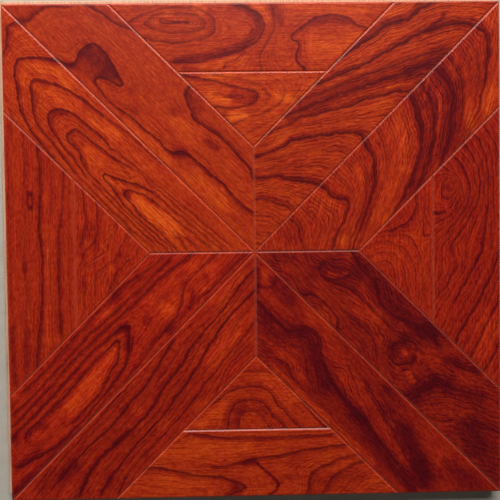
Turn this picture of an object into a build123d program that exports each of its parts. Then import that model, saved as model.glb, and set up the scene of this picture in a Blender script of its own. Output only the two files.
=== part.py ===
from build123d import *
from math import sqrt
import os

# Engineered parquet floorboard: a tongue-and-groove plywood core faced with mitred hardwood pieces.
# It lies flat with its back on z = 0 and its face up.  The origin is the centre of the back, +X points
# east and +Y north.  Tongues stand out on the west and north edges, and matching grooves are milled
# into the east and south edges, so that like boards lock together in both directions.
# The face is a cross of diagonal strips.  Each side of the board owns one sector of it: two strips that
# meet on the sector's middle line, a triangle between them and a border piece along the edge.

# The board, all sizes in millimetres
panel_side = 400.0
core_thickness = 12.0
face_thickness = 3.0

# The face pattern
strip_width = 60.0
border_width = 55.0
bevel = 0.8

# The tongue-and-groove edge
tongue_projection = 4.2
tongue_thickness = 4.6
tongue_underside = 4.7
tongue_chamfer = 0.7
tongue_side_clearance = 0.1
tongue_tip_clearance = 0.8
groove_lead_in = 0.4
back_relief = 0.4

# Worked out from the sizes above
half_side = panel_side / 2
back_side = panel_side - 2 * back_relief
strip_offset = strip_width * sqrt(2)
border_line = half_side - border_width
tongue_top = tongue_underside + tongue_thickness
groove_depth = tongue_projection + tongue_tip_clearance
groove_floor = tongue_underside - tongue_side_clearance
groove_ceiling = tongue_top + tongue_side_clearance
edge_run = panel_side + tongue_projection

# The sides in turn, anticlockwise: each sector of the face is drawn as the north one and turned to its side
sides = ["north", "west", "south", "east"]

# Planes across the edges: local x points out of the board, local y up and local z along the edge
north_edge = Plane((-half_side - tongue_projection, half_side, 0), x_dir=(0, 1, 0), z_dir=(1, 0, 0))
west_edge = Plane((-half_side, -half_side, 0), x_dir=(-1, 0, 0), z_dir=(0, 1, 0))
east_edge = Plane((half_side, half_side + tongue_projection, 0), x_dir=(1, 0, 0), z_dir=(0, -1, 0))
south_edge = Plane((half_side, -half_side, 0), x_dir=(0, -1, 0), z_dir=(-1, 0, 0))


def strip_outline(hand):
    """One diagonal strip of the north sector: hand is -1 for its west strip and 1 for its east one."""
    return [
        (0, 0),
        (hand * half_side, half_side),
        (hand * (half_side - strip_offset), half_side),
        (0, strip_offset),
    ]


def triangle_outline():
    """The triangle that fills the angle between the two strips, up to the border piece."""
    half_base = border_line - strip_offset
    return [(0, strip_offset), (half_base, border_line), (-half_base, border_line)]


def border_outline():
    """The border piece, from the triangle's base out to the edge of the board."""
    inner_half = border_line - strip_offset
    outer_half = half_side - strip_offset
    return [
        (-inner_half, border_line),
        (inner_half, border_line),
        (outer_half, half_side),
        (-outer_half, half_side),
    ]


def export_face_piece(label, outline, turn):
    """A flat face piece with all its upper edges bevelled, so that each joint between two is a V-groove."""
    with BuildPart() as piece:
        with BuildSketch(Plane.XY.offset(core_thickness).rotated((0, 0, turn))):
            with BuildLine():
                Polyline(*outline, close=True)
            make_face()
        extrude(amount=face_thickness)
        upper_face = piece.faces().sort_by(Axis.Z)[-1]
        chamfer(upper_face.edges(), length=bevel)
    piece.part.label = label
    export_step(piece.part, f"parts/{label}.step")


def export_core():
    """The plywood core, with tongues on two edges, grooves in the other two and its back set in a little."""
    with BuildPart() as core:
        with BuildSketch():
            Rectangle(back_side, back_side)
        extrude(amount=tongue_underside)
        with BuildSketch(Plane.XY.offset(tongue_underside)):
            Rectangle(panel_side, panel_side)
        extrude(amount=core_thickness - tongue_underside)

        for edge in (north_edge, west_edge):
            with BuildSketch(edge) as tongue:
                with Locations((0, tongue_underside)):
                    Rectangle(tongue_projection, tongue_thickness, align=(Align.MIN, Align.MIN))
                tip_corners = tongue.vertices().group_by(Axis.X)[-1]
                chamfer(tip_corners, length=tongue_chamfer)
            extrude(amount=edge_run)

        for edge in (east_edge, south_edge):
            with BuildSketch(edge):
                with BuildLine():
                    Polyline(
                        (-groove_depth, groove_floor),
                        (-back_relief - groove_lead_in, groove_floor),
                        (-back_relief, groove_floor - groove_lead_in),
                        (0, groove_floor - groove_lead_in),
                        (0, groove_ceiling + groove_lead_in),
                        (-groove_lead_in, groove_ceiling),
                        (-groove_depth, groove_ceiling),
                        close=True,
                    )
                make_face()
            extrude(amount=edge_run, mode=Mode.SUBTRACT)
    core.part.label = "plywood_core"
    export_step(core.part, "parts/plywood_core.step")


os.makedirs("parts", exist_ok=True)
export_core()
for place, side in enumerate(sides):
    turn = place * 360 / len(sides)
    left = sides[(place + 1) % len(sides)]
    right = sides[place - 1]
    export_face_piece(f"strip_{side}_{left}", strip_outline(-1), turn)
    export_face_piece(f"strip_{side}_{right}", strip_outline(1), turn)
    export_face_piece(f"triangle_{side}", triangle_outline(), turn)
    export_face_piece(f"border_{side}", border_outline(), turn)
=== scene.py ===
import math
from collections import namedtuple

import bpy
import numpy as np
from mathutils import Matrix, Vector
from mathutils.noise import seed_set, turbulence_vector


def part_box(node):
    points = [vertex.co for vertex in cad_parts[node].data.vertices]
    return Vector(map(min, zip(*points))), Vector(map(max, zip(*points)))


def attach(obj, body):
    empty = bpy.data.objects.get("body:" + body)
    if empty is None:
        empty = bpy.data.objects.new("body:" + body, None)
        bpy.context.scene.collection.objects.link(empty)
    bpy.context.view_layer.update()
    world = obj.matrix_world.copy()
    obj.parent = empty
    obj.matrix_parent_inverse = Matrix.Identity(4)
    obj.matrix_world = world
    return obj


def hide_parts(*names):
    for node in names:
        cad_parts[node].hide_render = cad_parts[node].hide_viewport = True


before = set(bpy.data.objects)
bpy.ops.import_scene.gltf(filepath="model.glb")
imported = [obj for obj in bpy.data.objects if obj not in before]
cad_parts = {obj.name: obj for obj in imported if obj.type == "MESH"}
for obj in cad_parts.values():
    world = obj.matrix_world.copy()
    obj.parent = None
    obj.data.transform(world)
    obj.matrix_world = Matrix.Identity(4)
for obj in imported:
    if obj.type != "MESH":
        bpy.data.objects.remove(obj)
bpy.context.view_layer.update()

bl_info = {
    "name": "Parquet floorboard",
    "version": (1, 0, 0),
    "blender": (4, 5, 0),
    "location": "View3D > Sidebar > Parquet",
    "description": "Builds the looks of a square engineered parquet floorboard around its CAD frame",
    "category": "Object",
}

MM = 0.001
SIDES = ("north", "west", "south", "east")
ARM_ANGLES = {"north_west": 135, "north_east": 45, "south_west": 225, "south_east": 315}

# Sizes of the board in metres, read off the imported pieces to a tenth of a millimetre
BORDER_LOW, BORDER_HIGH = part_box("border_north")
SIDE = round(2 * BORDER_HIGH.y, 4)
STRIP_WIDTH = round(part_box("triangle_north")[0].y / math.sqrt(2), 4)
BORDER_WIDTH = round(BORDER_HIGH.y - BORDER_LOW.y, 4)
FACE_BOTTOM = round(BORDER_LOW.z, 4)
FACE_TOP = round(BORDER_HIGH.z, 4)
PLIES = 7

# Finish of the meshes: the edge starts to round over at these shares of the bevel's width and depth
SHOULDER_WIDTH = 0.8
SHOULDER_DEPTH = 0.08
SHARP_ANGLE = 12
MERGE_DISTANCE = 1e-6
FEWEST_CELLS = 8

# Widths of the strips and borders that the grain was traced on, in millimetres
TRACED_STRIP = 60.0
TRACED_BORDER = 55.0

# How the traced grain is roughened, in millimetres: pairs are along and across the fibres
RAGGED_SIZE = (16.0, 4.0)
RAGGED_REACH = (7.0, 1.8)
FIBROUS_WIDTH = 7.0
WAVE_SIZE = 8.0
WAVE_REACH = 2.4
GRAIN_SEED = 1

# A streak is followed in steps of this share of its width, and falls off with this power at its edge
STROKE_STEP = 0.4
SHORTEST_STEP = 0.6
STROKE_EDGE = 1.5

# Each piece takes its fibres from another place: by its side, by its name's length, and to the side
SHIFT_BY_SIDE = 0.7
SHIFT_BY_NAME = 0.21
SHIFT_ACROSS = 0.37

# Screen colours from 0 to 255, with their places on the ramps
WOOD_RAMP = [
    (0.0, (84, 10, 20)),
    (0.22, (120, 18, 21)),
    (0.42, (163, 35, 18)),
    (0.58, (191, 50, 19)),
    (0.76, (222, 72, 22)),
    (1.0, (252, 101, 30)),
]
VEIN_COLOUR = (94, 10, 17)
# Lighter salmon for the eased edges: partly stain worn thin there, partly a painted highlight that stands in
# for the light the joint lines catch
WEAR_AND_HIGHLIGHT_COLOUR = (226, 110, 80)
PLY_RAMP = [(0.1, (178, 126, 94)), (0.4, (232, 182, 150)), (0.75, (246, 206, 176))]
FLOOR_RAMP = [(0.3, (200, 193, 180)), (0.7, (214, 207, 194))]

# Rings of the stained wood: lengths in millimetres, shares of the gap between two rings
WANDER = 2.6
VEIN_SHARP = 0.8
VEIN_SOFT = 1.8
VEIN_SHARE = 0.3
SHADE_REACH = 6.5
SHADE_SHARE = 0.5
FINE_SHARP = 0.45
FINE_SOFT = 0.8
FINE_FADE = (0.9, 2.0)
FINEST_LAYERS = 2.3

# The floor and the light around the board
FLOOR_HALF = 6.0
WORLD_COLOUR = (0.02, 0.02, 0.02, 1.0)
SENSOR_WIDTH = 36.0
WHITE_LIGHT = (1.0, 1.0, 1.0)
WARM_LIGHT = (1.0, 0.92, 0.84)
Softbox = namedtuple("Softbox", "name middle width height strength target colour")
MIDDLE = (0.0, 0.0, 0.0)
SOFTBOXES = (
    Softbox("high_softbox", (0.0, 1.5, 1.57), 1.3, 0.78, "key_strength", MIDDLE, WHITE_LIGHT),
    Softbox("low_softbox", (-0.1, 1.5, 0.48), 2.4, 0.52, "low_strength", (-0.1, 0.0, 0.2), WARM_LIGHT),
    Softbox("west_softbox", (-1.6, -0.1, 0.8), 1.2, 0.7, "fill_strength", MIDDLE, WHITE_LIGHT),
    Softbox("south_softbox", (0.0, -1.6, 0.8), 1.2, 0.7, "fill_strength", MIDDLE, WHITE_LIGHT),
)

# A ring is one growth line: its number, how dark it is, and points on it in millimetres.
# A stroke is a soft darker or brighter streak: its amount, its half width and its points.
# A figure is all the grain of one piece: its tone, rings and strokes, how many thin layers lie in one
# ring, how wavy the rings are, the direction of the fibres in degrees where they run off the piece's length,
# how bold the rings are, how strong the thin lines between them, and how much orange the stain has.
# The points of a strip are along and across its arm, counted from the middle of the board,
# and those of a triangle or border are the board's own x and y. They were read from a board whose
# strips and borders have the traced widths above, and are fitted to the widths that are built.
Ring = namedtuple("Ring", "number strength points")
Stroke = namedtuple("Stroke", "amount width points")
Figure = namedtuple(
    "Figure", "tone rings strokes layers wave grain bold fine warm", defaults=(4, 0.35, None, 1.0, 0.2, 1.0))

FIGURES = {}

FIGURES["strip_west_north"] = Figure(
    0.37,
    [
        Ring(0, 0.7, [(252, 33), (256, 22), (262, 15), (267, 9), (266, 3), (262, 0)]),
        Ring(1, 1.0, [
            (221, 0), (225, 4), (230, 7.5), (235, 12), (240, 17), (243, 22), (241, 28), (236, 33),
            (230, 37), (224, 42), (219, 46), (213, 50), (206, 53), (198, 55.5), (190, 57), (180, 58),
            (170, 59.5),
        ]),
        Ring(2, 0.5, [(105, 1.5), (125, 2), (140, 3), (150, 4), (157, 6)]),
        Ring(2, 0.9, [
            (165, 7), (173, 7), (181, 8), (190, 9.5), (199, 11.5), (207, 14.5), (214, 18), (220, 22),
            (224, 27), (222, 31), (217, 33.5), (213, 36), (210, 40), (207, 43), (203, 46), (197, 48.5),
            (190, 50), (182, 51), (175, 51.5), (168, 52.5), (160, 54), (150, 55.5),
        ]),
        Ring(2, 0.6, [(140, 56.5), (120, 57), (100, 57.5), (80, 58)]),
        Ring(3, 0.65, [(20, 10), (40, 11.5), (60, 13), (80, 15.5), (100, 16.5), (120, 18), (130, 19)]),
        Ring(3, 0.95, [
            (140, 20.5), (150, 19.5), (160, 20), (170, 21), (178, 21.5), (185, 23), (190, 25.5), (194, 29),
            (196, 34), (195, 38), (191, 42), (185, 44), (178, 45.5), (171, 47), (163, 48), (155, 48.5),
            (148, 50), (140, 51.5),
        ]),
        Ring(3, 0.75, [(130, 51.8), (120, 52), (100, 52.5), (80, 52.5), (65, 52)]),
        Ring(4, 0.6, [(28, 14), (45, 15.5), (65, 17), (85, 18.5), (100, 19), (112, 19)]),
        Ring(4, 0.85, [
            (120, 21), (127, 23.5), (133, 24.5), (140, 25), (148, 26.5), (155, 27.5), (162, 28), (169, 29),
            (173, 31), (174, 35), (173, 39), (168, 41.5), (161, 41), (155, 42), (151, 44), (146, 46),
            (140, 47.8), (130, 48.5),
        ]),
        Ring(4, 0.75, [(120, 48.5), (100, 49.5), (80, 49.3), (62, 49)]),
        Ring(4.5, 0.0, [(138, 34), (141, 39.5), (137, 45)]),
        Ring(5, 0.65, [(22, 17), (35, 18.5), (45, 19.5), (55, 20.5), (65, 21.5), (75, 22), (85, 22.5)]),
        Ring(5, 0.95, [
            (93, 23), (99, 24.5), (103, 26), (108, 28.5), (113, 31), (118, 34), (124, 36.2), (129, 38.2),
            (132, 40.6), (129, 42.6), (124, 43.5), (117, 43.5), (110, 45), (103, 46),
        ]),
        Ring(5, 0.9, [(96, 47), (88, 47), (80, 46.5), (70, 46), (60, 46), (53, 45)]),
        Ring(6, 0.65, [(30, 22), (38, 23), (45, 23.5), (52, 24.5), (60, 25), (68, 25.5), (76, 26.5)]),
        Ring(6, 0.9, [
            (83, 27), (90, 28), (96, 29.5), (101, 31.5), (106, 34), (110.5, 37.5), (107, 40), (102, 41.5),
            (97, 41.5), (92, 43),
        ]),
        Ring(6, 0.9, [(86, 44), (80, 43.5), (72, 42.5), (64, 42), (56, 43), (50, 43)]),
        Ring(6.6, 0.0, [(70, 35), (85, 35.5), (96, 36)]),
        Ring(7, 0.5, [(40, 29.5), (47, 30.5), (54, 33), (48, 36.5), (43, 37.5)]),
        Ring(2.45, 0.0, [(20, 5), (60, 7.5), (100, 9.5), (130, 11), (150, 12.5), (170, 14)]),
    ],
    [
        Stroke(0.45, 7, [(58, 34), (75, 34.5), (98, 36)]),
        Stroke(0.35, 5, [(200, 7), (215, 8), (228, 14)]),
        Stroke(0.3, 5, [(145, 11), (165, 13)]),
        Stroke(0.25, 6, [(185, 17), (205, 21)]),
        Stroke(0.25, 5, [(118, 39), (126, 40.5)]),
        Stroke(0.2, 6, [(140, 34), (150, 35)]),
        Stroke(0.2, 7, [(232, 22), (228, 30)]),
        Stroke(-0.3, 4, [(188, 27), (192, 34), (189, 40)]),
        Stroke(-0.2, 5, [(162, 36), (170, 36)]),
        Stroke(-0.35, 3, [(218, 1), (226, 5)]),
        Stroke(-0.3, 4, [(104, 38), (109, 38)]),
        Stroke(-0.15, 5, [(40, 6), (70, 7), (90, 9)]),
        Stroke(-0.3, 4, [(258, 20), (266, 8)]),
    ],
    warm=1.04,
)

FIGURES["strip_north_west"] = Figure(
    0.20,
    [
        Ring(1, 1.0, [
            (24, -22), (30, -20.5), (40, -19.5), (47, -20.5), (55, -22), (62, -21.5), (70, -19.5),
            (78, -20.5), (86, -20), (92, -19.5), (97, -18), (100, -14.5), (103, -11.5), (108, -9.5),
            (113, -10), (118, -11), (125, -10), (132, -9), (140, -8.5), (148, -9), (155, -7), (162, -6),
            (170, -5.5), (178, -6.5), (185, -7.5), (188, -12), (180, -17), (172, -18.5), (169, -21),
            (172, -24), (180, -26), (186, -27.5), (192, -30), (200, -31), (207, -30.5), (211, -26),
            (212, -20), (211, -13), (208, -7), (213, -2.5), (221, 0),
        ]),
        Ring(1, 0.9, [
            (42, -41), (48, -44), (55, -45), (65, -45.5), (72, -47), (80, -47), (87, -46.5), (95, -44.5),
            (103, -42.5), (108, -42.5), (115, -44.5), (120, -46.5), (126, -49.5), (130, -53), (131, -57),
            (130, -60),
        ]),
        Ring(1, 0.75, [
            (190, -59.5), (198, -57), (205, -54), (212, -52), (220, -50.5), (228, -48.5), (234, -47.5),
        ]),
        Ring(1, 0.75, [
            (262, 0), (258, -5), (258, -12), (257, -18), (255, -24), (250, -30), (245, -33),
        ]),
        Ring(0.5, 0.0, [
            (50, -33), (80, -34), (115, -30), (150, -30), (165, -42), (180, -45), (200, -42), (225, -30),
            (235, -15),
        ]),
        Ring(1.5, 0.0, [(20, -10), (60, -9), (100, -4), (150, -2.5), (200, -4)]),
    ],
    [
        Stroke(-0.5, 5, [(96, -16), (101, -15)]),
        Stroke(-0.45, 3, [(80, -39), (90, -37)]),
        Stroke(-0.35, 5, [(124, -36)]),
        Stroke(-0.6, 7.5, [(183, -20), (198, -22), (206, -20)]),
        Stroke(-0.3, 5, [(112, -52), (125, -54)]),
        Stroke(0.3, 6, [(105, -4), (145, -4)]),
        Stroke(0.25, 9, [(45, -12), (75, -10)]),
        Stroke(0.2, 8, [(100, -32), (115, -31)]),
        Stroke(-0.25, 4, [(160, -24)]),
        Stroke(-0.3, 4, [(147, -14)]),
        Stroke(-0.3, 4, [(195, -10), (206, -7), (215, -1)]),
    ],
    warm=1.14,
    fine=0.08,
)

FIGURES["strip_north_east"] = Figure(
    0.34,
    [
        Ring(0, 0.5, [(31, 29), (35, 26), (38, 20), (41, 14), (43, 10), (44, 5), (44, 0)]),
        Ring(2, 1.0, [
            (42, 42), (48, 36), (53, 32), (57, 28), (60, 23), (63, 18), (67, 13), (71, 7), (75, 1),
        ]),
        Ring(5, 1.0, [
            (57, 52), (63, 48), (68, 46), (74, 43), (80, 41.5), (86, 41), (90, 37), (95, 33), (100, 30),
            (105, 26), (110, 22), (116, 17.5), (121, 13), (125, 9), (127, 5), (126, 0),
        ]),
        Ring(7, 0.85, [
            (70, 60), (75, 58), (80, 57), (86, 55), (92, 52), (97, 51), (103, 50), (107, 47), (112, 42),
            (118, 39), (124, 36), (130, 31), (136, 27.5), (142, 25), (148, 22), (155, 18.5), (162, 15),
            (168, 11), (173, 7), (178, 3),
        ]),
        Ring(8, 0.8, [
            (95, 58), (105, 54.5), (115, 50), (122, 46.5), (130, 42.5), (138, 39.5), (146, 36), (155, 31),
            (165, 25.5), (175, 20), (185, 15), (195, 10), (205, 5),
        ]),
        Ring(9, 0.6, [
            (112, 58), (122, 53.5), (132, 49), (142, 45), (152, 41), (162, 36), (172, 31), (182, 26),
            (192, 22), (202, 17), (212, 11), (222, 5),
        ]),
        Ring(10, 0.95, [
            (128, 60), (134, 57), (141, 54), (149, 50), (157, 47.5), (164, 44), (170, 41.5), (180, 38.5),
            (190, 36), (200, 33), (210, 30), (220, 26), (228, 22), (236, 18), (243, 14), (248, 9),
            (252, 4), (254, 0),
        ]),
        Ring(11, 0.9, [
            (155, 59.5), (160, 58.5), (170, 57), (180, 55), (188, 52.5), (196, 51.5), (204, 51.5),
            (208, 49), (213, 46), (219, 42.5), (226, 41), (234, 41), (241, 38),
        ]),
    ],
    [
        Stroke(-0.4, 7.5, [
            (100, 57), (115, 51), (130, 44), (146, 37.5), (158, 31), (170, 24), (182, 18), (195, 11),
            (207, 6), (218, 2),
        ]),
        Stroke(-0.28, 9, [(192, 8), (206, 3), (218, 0)]),
        Stroke(-0.15, 5, [(34, 27), (40, 15)]),
        Stroke(-0.35, 4, [(226, 22), (236, 19), (246, 11), (252, 4)]),
        Stroke(0.45, 1.5, [(170, 15), (178, 10), (186, 4)]),
        Stroke(0.2, 8, [(145, 14), (155, 9)]),
        Stroke(0.15, 8, [(250, 18), (262, 9)]),
        Stroke(0.2, 6, [(170, 49), (190, 44), (205, 39)]),
        Stroke(0.25, 6, [(215, 54), (225, 50)]),
        Stroke(0.25, 6, [(75, 52), (85, 49)]),
        Stroke(0.15, 5, [(192, 25), (205, 20)]),
        Stroke(-0.4, 1.3, [(222, 25.5), (233, 24), (243, 24)]),
        Stroke(-0.4, 2.2, [(243, 24)]),
        Stroke(-0.3, 4, [(204, 52), (214, 46)]),
        Stroke(-0.15, 8, [(60, 34), (70, 25)]),
    ],
    wave=0.6,
    bold=1.7,
    fine=0.5,
    grain=14,
    warm=1.15,
)

FIGURES["strip_east_north"] = Figure(
    0.26,
    [
        Ring(0, 0.5, [(39, 0), (39, -6), (38, -11), (35, -16), (32, -21), (29, -25)]),
        Ring(3, 1.0, [
            (75, 0), (75.5, -6), (75, -11), (76, -15), (78.5, -20), (81, -24), (83, -26.5), (80, -29),
            (76, -31), (71, -34), (66, -35.5), (60, -36), (55, -38), (51, -40), (48, -42),
        ]),
        Ring(7, 1.0, [
            (126, 0), (123, -6), (123, -11), (121, -16), (117, -20), (114, -24), (109, -29), (103, -33),
            (96, -37), (90, -40), (84, -44), (77, -46), (70, -49), (62, -52), (57, -55),
        ]),
        Ring(11, 1.0, [
            (178, 0), (174, -9), (171, -15), (168, -21), (164, -27), (159, -32), (154, -37), (148, -41),
            (142, -44), (135, -48), (127, -51), (118, -54), (109, -57), (100, -59),
        ]),
        Ring(12, 0.8, [
            (191, -2), (189, -10), (187, -16), (182, -23), (175, -31), (165, -40), (155, -46), (145, -51),
            (132, -57),
        ]),
        Ring(13, 0.7, [
            (207, -2), (207, -14), (203, -25), (195, -33), (185, -41), (175, -48), (163, -54), (155, -58),
        ]),
        Ring(14, 0.7, [(221, -2), (219, -14), (215, -25), (207, -33), (197, -42), (186, -50), (174, -57)]),
        Ring(17, 1.0, [
            (254, 0), (255, -5), (257, -9), (254, -14), (250, -19), (245, -24), (240, -28), (234, -33),
            (227, -38), (220, -42), (213, -47), (206, -51), (200, -52.5), (190, -55), (182, -59),
        ]),
    ],
    [
        Stroke(-0.4, 9, [
            (182, -6), (178, -18), (170, -30), (160, -40), (148, -47), (134, -54), (118, -58),
        ]),
        Stroke(-0.5, 11, [(206, -4), (205, -20), (196, -32), (184, -42), (168, -53)]),
        Stroke(0.4, 1.4, [(197, -3), (191, -7), (184, -12)]),
        Stroke(0.45, 1.5, [(198, -15), (191, -23), (184, -30), (176, -36), (168, -43), (158, -48)]),
        Stroke(0.25, 3, [(176, -20), (171, -28)]),
        Stroke(0.22, 10, [(155, -10), (150, -20), (138, -35), (118, -46), (95, -52)]),
        Stroke(0.25, 6, [(66, -6), (70, -24), (68, -29)]),
        Stroke(0.2, 8, [(100, -8), (105, -20)]),
        Stroke(0.25, 5, [(57, -44)]),
        Stroke(0.3, 6, [(268, -5), (275, -2)]),
        Stroke(0.4, 6, [(215, -52), (228, -46)]),
        Stroke(0.3, 5, [(195, -54), (205, -41)]),
        Stroke(-0.3, 5, [(112, -24), (106, -30), (92, -39), (76, -47)]),
        Stroke(-0.3, 4, [(246, -23)]),
        Stroke(-0.15, 11, [(234, -6), (232, -20), (222, -32)]),
        Stroke(-0.2, 9, [(30, -8)]),
    ],
    wave=0.6,
    bold=1.9,
    fine=0.5,
    grain=74,
)

FIGURES["strip_west_south"] = Figure(
    0.17,
    [
        Ring(0, 0.6, [(4, -3.5), (20, -4), (35, -4), (48, -4), (58, -5)]),
        Ring(1, 0.6, [
            (22, -21), (35, -21.5), (50, -22.5), (60, -21), (68, -15), (76, -10), (85, -7.5), (93, -7.5),
            (100, -7), (110, -6.5), (118, -5), (130, -3.5), (145, -2),
        ]),
        Ring(2, 1.0, [
            (115, -31.5), (118, -27), (122, -23), (126, -19), (130, -15), (136, -12), (142, -9.5),
            (150, -8), (160, -7), (170, -6.5), (180, -5.5), (190, -4.5), (205, -4), (220, -4), (228, -5),
            (236, -7), (245, -10), (256, -13),
        ]),
        Ring(2, 0.9, [
            (116, -33), (120, -35.5), (126, -36), (132, -35.5), (140, -37), (148, -38), (160, -37.5),
            (172, -37), (185, -36.5), (200, -36), (215, -35.5), (230, -36), (244, -36),
        ]),
        Ring(3, 0.85, [
            (129, -28), (132, -24.5), (137, -20), (142, -17), (150, -15.5), (158, -13), (166, -10.5),
            (175, -9), (185, -8.5), (200, -8),
        ]),
        Ring(3, 0.85, [
            (130, -29.5), (134, -30), (140, -30.5), (147, -31), (155, -31.5), (163, -31), (172, -30),
            (182, -30), (192, -29), (200, -29.5), (215, -29.5), (235, -30),
        ]),
        Ring(1, 0.8, [
            (30, -37), (42, -36.5), (55, -38.5), (70, -40.5), (85, -40.5), (100, -41), (115, -42),
            (127, -43), (140, -43.5), (155, -44), (170, -44.5), (185, -43), (200, -42.5), (220, -42),
            (235, -42),
        ]),
        Ring(0, 0.8, [
            (55, -45), (75, -45), (90, -45.5), (105, -47), (120, -47.5), (130, -48), (140, -49.5),
            (150, -49.5), (160, -49), (172, -48), (185, -48), (200, -47), (215, -47.5), (228, -48),
        ]),
        Ring(-1, 0.6, [
            (58, -51), (65, -51.5), (75, -53), (85, -56), (95, -57.5), (120, -57), (140, -57), (160, -56),
            (185, -55), (210, -55),
        ]),
        Ring(1.5, 0.0, [(40, -28), (70, -29), (95, -31)]),
        Ring(3.4, 0.0, [(145, -24), (165, -22), (185, -20), (205, -18), (225, -18)]),
    ],
    [
        Stroke(0.42, 8, [(138, -25), (155, -22), (172, -20), (192, -18)]),
        Stroke(-0.6, 3.5, [(115, -32), (118, -33)]),
        Stroke(-0.4, 4, [(122, -22), (128, -18)]),
        Stroke(-0.45, 4, [(100, -23.5)]),
        Stroke(-0.4, 5, [(104, -56)]),
        Stroke(-0.3, 4, [(77, -25)]),
        Stroke(-0.35, 2.5, [(69, -6), (63, -8.5), (59, -13), (57, -17)]),
        Stroke(-0.25, 6, [(45, -14)]),
        Stroke(0.3, 5, [(48, -7)]),
        Stroke(0.25, 14, [(40, -16), (75, -22)]),
        Stroke(0.3, 6, [(46, -27)]),
        Stroke(0.3, 6, [(83, -17)]),
        Stroke(0.25, 5, [(88, -36)]),
        Stroke(0.3, 6, [(120, -53)]),
        Stroke(-0.35, 4, [(93, -4)]),
        Stroke(-0.35, 4, [(52, -1.5)]),
        Stroke(-0.35, 4, [(205, -2.5), (280, -2)]),
        Stroke(-0.3, 5, [(222, -25)]),
        Stroke(-0.3, 5, [(240, -12), (258, -14)]),
        Stroke(0.2, 3, [(205, -5.5), (230, -6.5), (262, -10)]),
        Stroke(-0.3, 6, [(245, -33)]),
        Stroke(-0.2, 5, [(258, -4), (276, -3)]),
        Stroke(-0.25, 2.5, [(58, -12), (66, -8), (80, -6), (96, -6.5)]),
        Stroke(-0.2, 3, [(60, -24), (78, -28), (90, -27)]),
    ],
    bold=1.6,
    warm=0.78,
)

FIGURES["strip_south_west"] = Figure(
    0.21,
    [
        Ring(8, 0.7, [
            (150, 3), (160, 3), (170, 3.5), (180, 3.5), (190, 4.5), (200, 4), (210, 5), (220, 5.5),
            (230, 6), (240, 7), (250, 8.5), (262, 11),
        ]),
        Ring(6, 0.9, [
            (100, 3), (106, 5.5), (112, 6.5), (120, 8), (128, 10.5), (136, 12), (145, 13), (158, 13),
            (166, 14), (175, 15), (184, 15.5), (192, 15), (200, 14.5), (210, 14), (220, 14.5), (230, 15),
            (240, 15.5), (250, 16),
        ]),
        Ring(4, 1.0, [
            (10, 10), (20, 10), (30, 11), (40, 13), (48, 14.5), (56, 15), (64, 15.5), (72, 15.5),
            (80, 16), (88, 17), (96, 18.5), (104, 21), (112, 22.5), (120, 23), (130, 24), (140, 26.5),
            (150, 29.5), (160, 30), (170, 30), (180, 29), (190, 28.5), (200, 28), (210, 28), (218, 29),
            (226, 31), (234, 34), (240, 36),
        ]),
        Ring(2, 1.0, [
            (22, 22.5), (30, 22.5), (40, 22), (50, 22), (58, 23), (66, 24), (74, 26), (82, 28), (90, 29),
            (98, 31.5), (105, 33), (112, 35), (120, 36), (130, 37), (138, 38.5), (146, 40), (160, 40.5),
            (170, 40), (180, 41), (190, 42), (200, 43), (210, 44), (218, 46), (226, 47.5),
        ]),
        Ring(0, 0.7, [
            (46, 41), (65, 43), (80, 43.5), (100, 46), (116, 48), (135, 50), (150, 51), (160, 52),
            (170, 51), (185, 51), (195, 51.5), (205, 53), (214, 57),
        ]),
        Ring(-2, 0.6, [(58, 49.5), (72, 49.5), (82, 49.5), (88, 51), (95, 54), (101, 57)]),
    ],
    [
        Stroke(-0.4, 4, [(176, 29), (190, 28)]),
        Stroke(-0.35, 4, [(165, 15)]),
        Stroke(-0.4, 4, [(215, 43)]),
        Stroke(-0.35, 4, [(225, 14), (240, 15)]),
        Stroke(0.25, 4, [(120, 54)]),
        Stroke(0.2, 6, [(152, 46)]),
        Stroke(0.2, 6, [(160, 22)]),
        Stroke(0.2, 6, [(165, 35)]),
        Stroke(0.2, 5, [(60, 37), (88, 38)]),
        Stroke(0.2, 5, [(20, 5), (50, 6)]),
        Stroke(0.2, 14, [(45, 18), (85, 30)]),
        Stroke(-0.2, 8, [(230, 20), (255, 10)]),
    ],
    layers=2,
    wave=0.4,
    bold=2.7,
    warm=0.84,
)

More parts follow.
